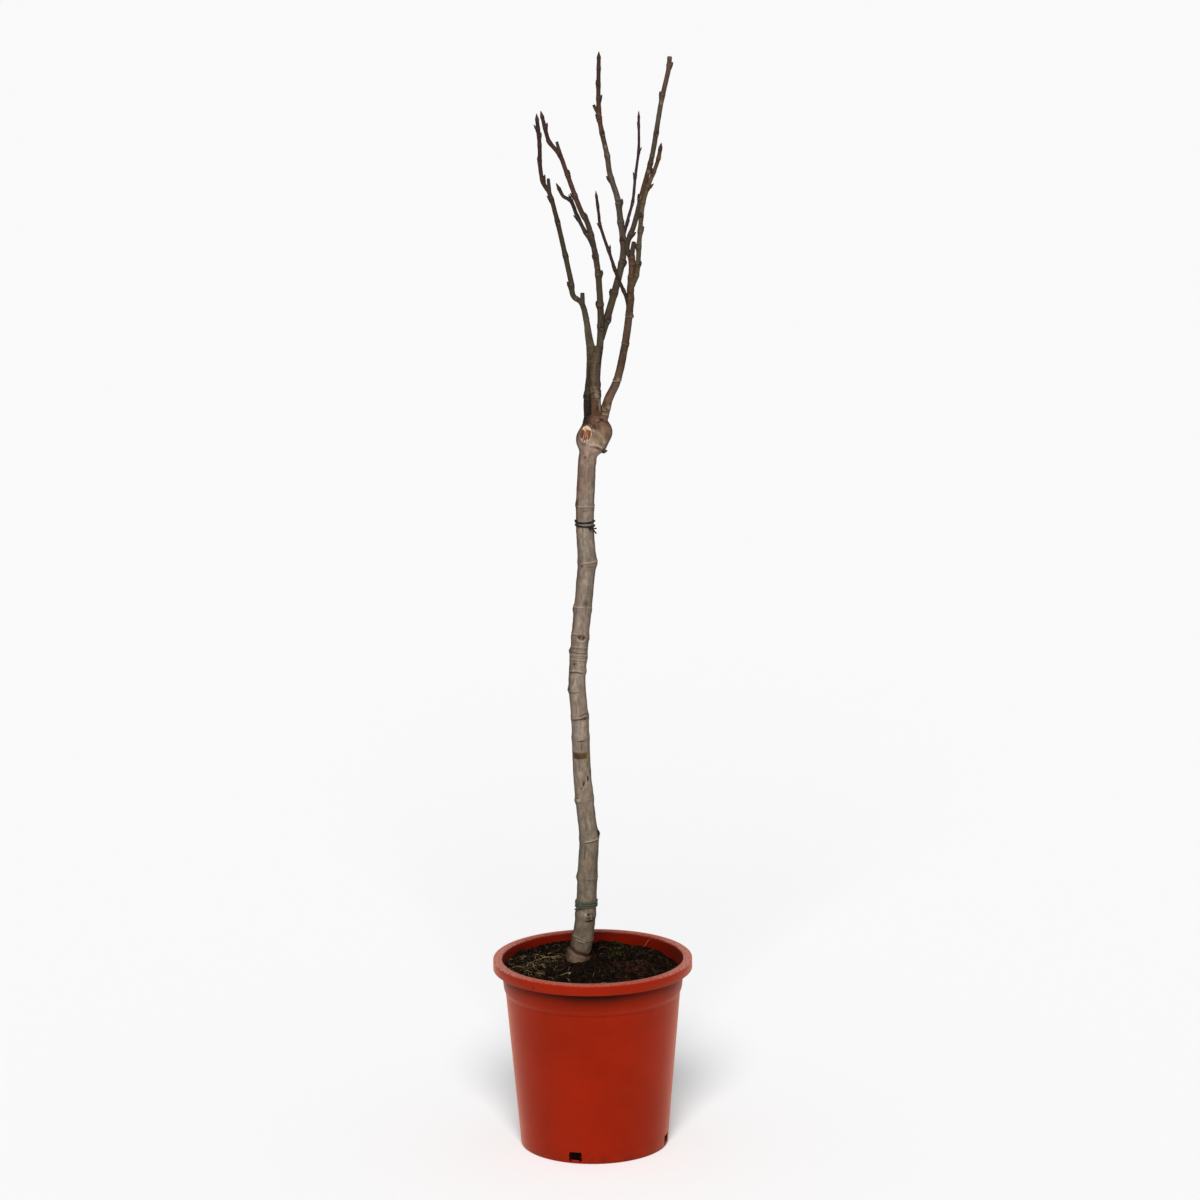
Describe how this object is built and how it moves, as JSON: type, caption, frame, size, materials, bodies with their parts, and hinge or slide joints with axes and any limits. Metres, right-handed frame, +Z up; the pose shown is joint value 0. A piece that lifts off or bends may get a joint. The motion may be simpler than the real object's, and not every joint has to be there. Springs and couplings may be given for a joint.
{
  "type": "potted fig tree",
  "caption": "Bare winter fig standard: a slender clear stem, a swollen head with a pruning wound, and upright budded shoots, growing in soil in a round tapered plastic pot with a broad rim.",
  "frame": {"origin": "centre of the pot's flat underside, on the floor", "axes": "+Z up through the crown, -Y towards the front that the picture shows, +X to the right of that front"},
  "size_m": [0.21, 0.21, 1.151],
  "materials": {
    "pot_plastic": "moulded terracotta-red plastic, satin, rubbed pale along the rim",
    "potting_soil": "dark crumbly potting soil, matt, with straw-coloured fibres and a little moss",
    "stem_bark": "smooth grey-beige bark with ringed nodes and small scars, matt",
    "bough_bark": "olive-brown young bark, matt",
    "twig_bark": "dark brown twig bark with pale scars and dark buds, matt",
    "black_wire": "thin black coated wire",
    "green_wire": "dull green coated twist, matt"
  },
  "bodies": {
    "root": {"pot": "pot_plastic", "soil": "potting_soil", "trunk": "stem_bark", "left_bough": "bough_bark", "middle_bough": "bough_bark", "right_bough": "bough_bark", "left_twigs": "twig_bark", "inner_twigs": "twig_bark", "right_twigs": "twig_bark", "upper_tie": "black_wire", "lower_tie": "green_wire"}
  },
  "joints": []
}
